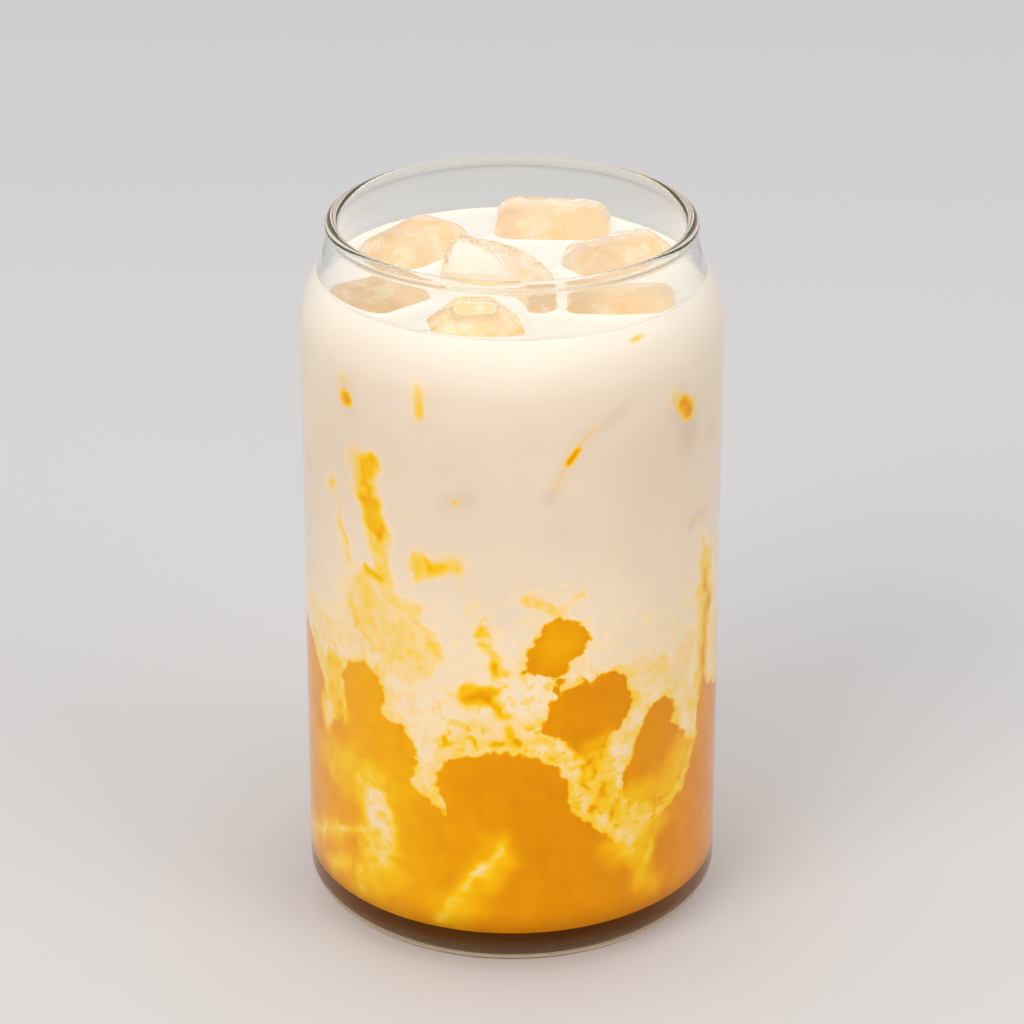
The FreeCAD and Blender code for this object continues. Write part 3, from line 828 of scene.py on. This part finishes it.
def make_puree(seam):
    floor_z = BASE_THICKNESS - REACH
    corner_r = BORE_RADIUS - BORE_CORNER
    floor_radii = np.linspace(0, corner_r, FLOOR_RINGS + 1)[1:]
    corner = arc_points(corner_r, CORNER_Z, BORE_CORNER + REACH, -90, 0, CORNER_STEPS)[1:]
    rings = np.concatenate([
        ring_points(floor_radii, np.full((FLOOR_RINGS, COLUMNS), floor_z)),
        turned(corner, COLUMNS),
        wall_rings(np.full(COLUMNS, CORNER_Z), seam[-1], PUREE_ROWS)[2:],
        ring_points(SEAM_RADII[::-1], seam[::-1]),
    ])
    return rings_mesh("mango_puree", rings, (0, 0, floor_z), (0, 0, seam[0].mean()))


def milk_top(brim, ice_tree):
    """Rings of the milk's open surface, which climbs the glass and the ice a little."""
    radii = brim - np.linspace(0, 1, TOP_RINGS + 1)[1:-1] * brim
    radii = np.concatenate([[brim - SUPPORT], radii])
    top = ring_points(radii, np.full((len(radii), COLUMNS), FLAT_Z))
    points = top.reshape(-1, 3)
    rise, width = WALL_MENISCUS
    climb = rise * np.exp(-(brim - REACH - np.minimum(radii, brim - REACH)) / width)
    rise, width = ICE_MENISCUS
    gaps = np.array([ice_tree.find_nearest(point)[3] for point in points.tolist()])
    hug = (rise * np.exp(-gaps / width)).reshape(top.shape[:2])
    ripple = waved(0.0, points, RIPPLE_LAYERS, RIPPLE_SEED).reshape(top.shape[:2])
    calm = 1 - np.exp(-(brim - radii) / RIPPLE_CALM)
    top[..., 2] += climb[:, None] + hug + ripple * calm[:, None]
    return top


def make_milk(seam, ice_tree):
    top_z = FLAT_Z + WALL_MENISCUS[0]
    brim = float(bore_radius(top_z)) + REACH
    rings = np.concatenate([
        ring_points(SEAM_RADII, seam),
        wall_rings(seam[-1], np.full(COLUMNS, top_z), MILK_ROWS),
        milk_top(brim, ice_tree),
    ])
    return rings_mesh("milk", rings, (0, 0, seam[0].mean()), (0, 0, FLAT_Z))


def open_faces(mesh, ice_tree):
    """Gives the milk's open surface its second, glossy material."""
    middles = read_vectors(mesh.polygons, "center") / MM
    upward = read_vectors(mesh.polygons, "normal")[:, 2] > OPEN_SLOPE
    radius, z = np.hypot(middles[:, 0], middles[:, 1]), middles[:, 2]
    top = upward & (z > FLAT_Z - OPEN_DEPTH) & (radius < bore_radius(z) + REACH / 2)
    index = np.zeros(len(middles), np.int32)
    for i in np.nonzero(top)[0]:
        gap = ice_tree.find_nearest(middles[i].tolist())[3]
        index[i] = gap > ICE_TUCK / 2
    mesh.polygons.foreach_set("material_index", index)


def make_drink(ice):
    """The puree, and the milk with a well round each piece of ice."""
    shells = [(mesh_points(piece.data), faces_of(piece.data)) for piece in ice]
    normals = [read_vectors(piece.data.vertices, "normal") for piece in ice]
    tucked = [
        (points - normal * ICE_TUCK, faces) for (points, faces), normal in zip(shells, normals)
    ]
    ice_tree = search_tree(*merged(shells))
    seam = seam_heights()
    against_glass, open_surface = against_glass_material(), open_milk_material()
    puree = add_object("mango_puree_body", make_puree(seam))
    dress(puree, against_glass)
    paint_mesh(puree.data)
    milk = add_object("milk_body", make_milk(seam, ice_tree))
    cut(milk, new_mesh("wells", *merged(tucked)))
    dress(milk, against_glass, open_surface)
    milk.data.shade_smooth()
    milk.data.set_sharp_from_angle(angle=math.radians(SHARP_ANGLE))
    open_faces(milk.data, ice_tree)
    paint_mesh(milk.data)
    return puree, milk


# ---------------------------------------------------------------- materials
def linear(red, green, blue):
    """Linear colour from the usual 0 to 255 values."""
    channels = [c / 255 for c in (red, green, blue)]
    return (*[c / 12.92 if c <= 0.04045 else ((c + 0.055) / 1.055) ** 2.4 for c in channels], 1)


MIX_SOCKETS = {"FLOAT": (2, 0), "RGBA": (6, 2)}  # the Mix node's first value and its result


class Tree:
    """Short calls that build a node material."""

    def __init__(self, name):
        self.material = bpy.data.materials.new(name)
        self.material.use_nodes = True
        self.tree = self.material.node_tree
        self.tree.nodes.clear()
        self.output = self.tree.nodes.new("ShaderNodeOutputMaterial")

    def add(self, kind, **inputs):
        """Node of a kind. Keywords name its properties, or its sockets with _ for a space."""
        node = self.tree.nodes.new("ShaderNode" + kind)
        for key, value in inputs.items():
            if hasattr(node, key):
                setattr(node, key, value)
            else:
                self.put(node.inputs[key.replace("_", " ")], value)
        return node

    def put(self, socket, value):
        """Links a socket to another, or gives it a value."""
        if isinstance(value, bpy.types.NodeSocket):
            self.tree.links.new(value, socket)
        else:
            socket.default_value = value

    def put_all(self, node, *values):
        """Fills the first sockets of a node in their order and gives its first output."""
        for socket, value in zip(node.inputs, values):
            self.put(socket, value)
        return node.outputs[0]

    def math(self, operation, *values, clamp=False):
        return self.put_all(self.add("Math", operation=operation, use_clamp=clamp), *values)

    def sum(self, *terms, start=0.0):
        """Sum of a start and (socket, factor) pairs."""
        total = start
        for socket, factor in terms:
            total = self.math("MULTIPLY_ADD", socket, factor, total)
        return total

    def step(self, value, low, high):
        """Smooth step from 0 to 1 between two values."""
        return self.put_all(self.add("MapRange", interpolation_type="SMOOTHSTEP"), value, low, high)

    def noise(self, vector, cell, detail, roughness, shift=0.0):
        """Noise of about -1 to 1 with features of a size in millimetres."""
        at = self.put_all(self.add("VectorMath", operation="ADD"), vector, (shift, -shift, shift))
        node = self.add("TexNoise", Scale=1 / cell, Detail=detail, Roughness=roughness, Vector=at)
        return self.math("MULTIPLY_ADD", node.outputs["Fac"], 4.0, -2.0)

    def mix(self, share, a, b, kind="FLOAT"):
        """Mix of two numbers, or of two colours where the kind is RGBA."""
        node = self.add("Mix", data_type=kind)
        first, result = MIX_SOCKETS[kind]
        for index, value in ((0, share), (first, a), (first + 1, b)):
            self.put(node.inputs[index], value)
        return node.outputs[result]

    def mix_shaders(self, share, a, b):
        return self.put_all(self.add("MixShader"), share, a, b)

    def ramp(self, value, stops):
        """Colour at a value, between stops of (value, colour)."""
        node = self.add("ValToRGB", Fac=value)
        elements = node.color_ramp.elements
        while len(elements) < len(stops):
            elements.new(0.5)
        for element, (position, colour) in zip(elements, stops):
            element.position = position
            element.color = linear(*colour)
        return node.outputs["Color"]

    def place(self):
        """Place on the object, in millimetres."""
        metres = self.add("TexCoord").outputs["Object"]
        return self.add("VectorMath", operation="SCALE", Vector=metres, Scale=1 / MM).outputs[0]

    def finish(self, surface):
        self.put(self.output.inputs["Surface"], surface)
        return self.material


SWIRL_COLOURS = [
    (0.00, (238, 218, 196)),
    (0.10, (245, 221, 191)),
    (0.16, (253, 224, 181)),
    (0.24, (253, 217, 153)),
    (0.36, (253, 209, 90)),
    (0.50, (253, 199, 22)),
    (0.62, (250, 184, 3)),
    (0.75, (245, 167, 1)),
    (0.88, (237, 151, 1)),
    (1.00, (227, 139, 1)),
]
MILK_BRIGHT = (252, 240, 224)
MILK_SHADED = (214, 188, 162)
BODY_EDGE = (-0.2, 0.3)  # a body's skin and its halo, as distances in from the outline
HALO_EDGE = (-2.4, 0.6)
HALO_AMOUNT = 0.16
DROP_EDGE = (0.05, 0.65)
DROP_AMOUNT = 0.26
PALE_PUREE = 0.7  # puree below this strength is broken up by milk
PALE_BREAK = 0.27
LEAST_PUREE = 0.18
MILKY_EDGE = (0.2, 0.5)
MILK_IOR = 1.35
PUREE_IOR = 1.33


def drink_colour(t):
    """Colour of the drink from the painted amounts and fine noise that is stirred with it, and
    the stirred place."""
    swirl = t.add("Attribute", attribute_name="swirl")
    body, wash, depth = t.add("SeparateColor", Color=swirl.outputs["Color"]).outputs
    fleck = swirl.outputs["Alpha"]
    shade = t.add("Attribute", attribute_name="shade").outputs["Fac"]
    stir = t.add("Attribute", attribute_name="stir").outputs["Vector"]
    crumb = t.noise(stir, cell=1.5, detail=2, roughness=0.6, shift=4)
    fine = t.noise(stir, cell=0.9, detail=2, roughness=0.6, shift=11)
    drop = t.noise(stir, cell=2.0, detail=1, roughness=0.4, shift=17)
    coarse = t.noise(stir, cell=4.2, detail=2, roughness=0.55, shift=23)
    crisp = t.step(t.math("MULTIPLY_ADD", crumb, 0.6, body), *BODY_EDGE)
    halo = t.step(t.math("MULTIPLY_ADD", coarse, 1.4, body), *HALO_EDGE)
    # puree in the milk: a mottled wash, a halo round the bodies and drops
    mottle = t.sum((coarse, 0.26), (drop, 0.06), (fine, 0.04), start=1.0)
    mottled = t.math("MULTIPLY", wash, mottle)
    drops = t.step(t.sum((drop, 1.0), (fine, 0.3)), *DROP_EDGE)
    drops = t.math("MULTIPLY", drops, fleck)
    thin = t.sum((mottled, 1.0), (halo, HALO_AMOUNT), (drops, DROP_AMOUNT))
    # milk in the puree: soft tones, more broken where they are pale
    pale = t.math("MULTIPLY", t.math("SUBTRACT", PALE_PUREE, depth), PALE_BREAK)
    cloud = t.math("MULTIPLY", t.math("ADD", coarse, drop), t.math("MAXIMUM", pale, 0.0))
    thick = t.sum((depth, 1.0), (coarse, 0.06), (drop, 0.03), (fine, 0.02), (cloud, 1.0))
    thick = t.math("MAXIMUM", thick, LEAST_PUREE)
    amount = t.mix(crisp, t.math("MAXIMUM", thin, 0.0), thick)
    colour = t.ramp(amount, SWIRL_COLOURS)
    # light and shade, only where the drink is milky
    milky = t.math("SUBTRACT", 1.0, t.step(amount, *MILKY_EDGE))
    for sign, tone in ((-1.0, MILK_BRIGHT), (1.0, MILK_SHADED)):
        share = t.math("MULTIPLY", t.math("MULTIPLY", shade, sign, clamp=True), milky)
        colour = t.mix(share, colour, linear(*tone), "RGBA")
    return colour, stir


def against_glass_material():
    """Drink pressed against the glass: no gloss of its own."""
    t = Tree("drink_against_glass")
    colour, _ = drink_colour(t)
    shader = t.add("BsdfPrincipled", Base_Color=colour, Roughness=0.7, IOR=PUREE_IOR)
    t.put(shader.inputs["Specular IOR Level"], 0.0)
    return t.finish(shader.outputs[0])


def open_milk_material():
    """Open milk: wet gloss over a soft white body."""
    t = Tree("milk_open_surface")
    colour, stir = drink_colour(t)
    film = t.noise(stir, cell=0.8, detail=2, roughness=0.5, shift=3)
    bump = t.add("Bump", Strength=0.12, Distance=0.0002, Height=film)
    shader = t.add(
        "BsdfPrincipled", Base_Color=colour, Roughness=0.12, IOR=MILK_IOR, Normal=bump.outputs[0]
    )
    return t.finish(shader.outputs[0])


def lit_through(t, surface, tint):
    """A clear surface that the light of the lamps and of the room goes straight through."""
    rays = t.add("LightPath").outputs
    straight = t.math("MAXIMUM", rays["Is Shadow Ray"], rays["Is Diffuse Ray"])
    clear = t.add("BsdfTransparent", Color=(*tint, 1))
    return t.mix_shaders(straight, surface, clear.outputs[0])


GLASS_IOR = 1.5
GLASS_TINT = (0.97, 0.97, 0.96)
GLASS_HAZE = (196, 190, 160)
GLASS_HAZE_DENSITY = 9.0
GLASS_GLOSS = 0.15
GLASS_SOFT = (206, 194, 158)
RIM_SOFT = 0.10
RIM_EDGE = (HEIGHT - 3.5, HEIGHT - 1.0)
BASE_SOFT = 0.08
BASE_EDGE = (5.0, 8.0)


def glass_material():
    """Clear glass, a little soft in the bead of the rim and in the thick base."""
    t = Tree("clear_glass")
    shader = t.add(
        "BsdfPrincipled", Base_Color=linear(253, 254, 252), Roughness=0.0, IOR=GLASS_IOR,
        Transmission_Weight=1.0, Specular_Tint=(GLASS_GLOSS,) * 3 + (1,),
    )
    haze = t.add("VolumeAbsorption", Color=linear(*GLASS_HAZE), Density=GLASS_HAZE_DENSITY)
    t.put(t.output.inputs["Volume"], haze.outputs[0])
    height = t.add("SeparateXYZ", Vector=t.place()).outputs["Z"]
    rim = t.math("MULTIPLY", t.step(height, *RIM_EDGE), RIM_SOFT)
    base = t.math("MULTIPLY", t.math("SUBTRACT", 1.0, t.step(height, *BASE_EDGE)), BASE_SOFT)
    soft = t.add("BsdfDiffuse", Color=linear(*GLASS_SOFT))
    body = t.mix_shaders(t.math("ADD", rim, base), shader.outputs[0], soft.outputs[0])
    return t.finish(lit_through(t, body, GLASS_TINT))


ICE_IOR = 1.31
ICE_TINT = (0.98, 0.98, 0.97)
FROST = (255, 249, 224)
FROST_LEAST = 0.06
FROST_MORE = 0.24
FROST_EDGE = (0.0, 0.6)


def ice_material():
    """Clear ice with cloudy patches and a skin of frost."""
    t = Tree("melting_ice")
    place = t.place()
    cloud = t.noise(place, cell=5.0, detail=3, roughness=0.6)
    pits = t.noise(place, cell=1.6, detail=2, roughness=0.6, shift=9)
    bump = t.add("Bump", Strength=0.10, Distance=0.0003, Height=pits)
    shader = t.add(
        "BsdfPrincipled", Base_Color=linear(255, 253, 247), Roughness=0.05, IOR=ICE_IOR,
        Transmission_Weight=1.0, Normal=bump.outputs[0],
    )
    frost = t.add("BsdfPrincipled", Base_Color=linear(*FROST), Roughness=0.4)
    share = t.math("MULTIPLY_ADD", t.step(cloud, *FROST_EDGE), FROST_MORE, FROST_LEAST)
    body = t.mix_shaders(share, shader.outputs[0], frost.outputs[0])
    return t.finish(lit_through(t, body, ICE_TINT))


# ---------------------------------------------------------------- stage, lamps and camera
FLOOR_SIZE = 6.0
FLOOR_COLOUR = (209, 206, 203)
ROOM_STRENGTH = 0.86
ROOM_TONES = ((0.25, (0.62, 0.63, 0.66)), (0.9, (0.98, 1.0, 1.04)))  # by how far up it looks
LAMP_AIM = (0, 0, 0.07)
LAMPS = [
    # name, place, size, power
    ("key", (-0.75, -0.95, 0.95), 0.9, 9.2),
    ("fill", (1.0, -0.7, 0.7), 0.9, 4.6),
    ("ceiling", (0, 0.15, 1.3), 0.8, 1.6),
]
CAMERA_DISTANCE = 731.0
CAMERA_ELEVATION = 24.45
CAMERA_AIM_Z = 75.6
CAMERA_LENS = 140.8
CAMERA_SENSOR = 36.0


def make_stage():
    bpy.ops.mesh.primitive_plane_add(size=FLOOR_SIZE)
    floor = bpy.context.object
    floor.name = "floor"
    t = Tree("pale_floor")
    shader = t.add("BsdfPrincipled", Base_Color=linear(*FLOOR_COLOUR), Roughness=0.75)
    t.put(shader.inputs["Specular IOR Level"], 0.2)
    dress(floor, t.finish(shader.outputs[0]))


def make_lamp(name, place, size, power):
    data = bpy.data.lights.new(name, "AREA")
    data.shape = "DISK"
    data.size = size
    data.energy = power
    lamp = bpy.data.objects.new(name, data)
    lamp.location = place
    aim = Vector(LAMP_AIM) - Vector(place)
    lamp.rotation_euler = aim.to_track_quat("-Z", "Y").to_euler()
    lamp.visible_glossy = False
    bpy.context.scene.collection.objects.link(lamp)


def make_light():
    """A pale room, brighter overhead, with a soft ceiling and two soft lamps in front."""
    world = bpy.data.worlds.new("studio")
    bpy.context.scene.world = world
    world.use_nodes = True
    nodes, links = world.node_tree.nodes, world.node_tree.links
    split = nodes.new("ShaderNodeSeparateXYZ")
    links.new(nodes.new("ShaderNodeTexCoord").outputs["Generated"], split.inputs[0])
    room = nodes.new("ShaderNodeValToRGB")
    links.new(split.outputs["Z"], room.inputs[0])
    for element, (position, colour) in zip(room.color_ramp.elements, ROOM_TONES):
        element.position = position
        element.color = (*colour, 1)
    background = nodes["Background"]
    links.new(room.outputs[0], background.inputs["Color"])
    background.inputs["Strength"].default_value = ROOM_STRENGTH
    for lamp in LAMPS:
        make_lamp(*lamp)


def make_camera():
    data = bpy.data.cameras.new("camera")
    data.lens = CAMERA_LENS
    data.sensor_width = CAMERA_SENSOR
    camera = bpy.data.objects.new("camera", data)
    tilt = math.radians(CAMERA_ELEVATION)
    camera.location = (
        0,
        -CAMERA_DISTANCE * math.cos(tilt) * MM,
        (CAMERA_AIM_Z + CAMERA_DISTANCE * math.sin(tilt)) * MM,
    )
    camera.rotation_euler = (math.pi / 2 - tilt, 0, 0)
    bpy.context.scene.collection.objects.link(camera)
    bpy.context.scene.camera = camera


# ---------------------------------------------------------------- assembly
def dress(piece, *materials):
    piece.data.materials.clear()
    for material in materials:
        piece.data.materials.append(material)


def keep(piece, slot, *nodes):
    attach(piece, "root")
    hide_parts(*nodes)


def main():
    bpy.context.scene.view_settings.view_transform = "Standard"
    make_camera()
    make_stage()
    make_light()
    ice = [
        make_ice(node, MELT_FIRST_SEED + MELT_SEED_STEP * i) for i, node in enumerate(ICE_NODES)
    ]
    puree, milk = make_drink(ice)
    glass = make_glass()
    dress(glass, glass_material())
    keep(glass, "glass", "glass")
    keep(milk, "milk", "milk")
    keep(puree, "mango", *PUREE_NODES)
    clear_ice = ice_material()
    for piece, node in zip(ice, ICE_NODES):
        dress(piece, clear_ice)
        keep(piece, "ice", node)


main()
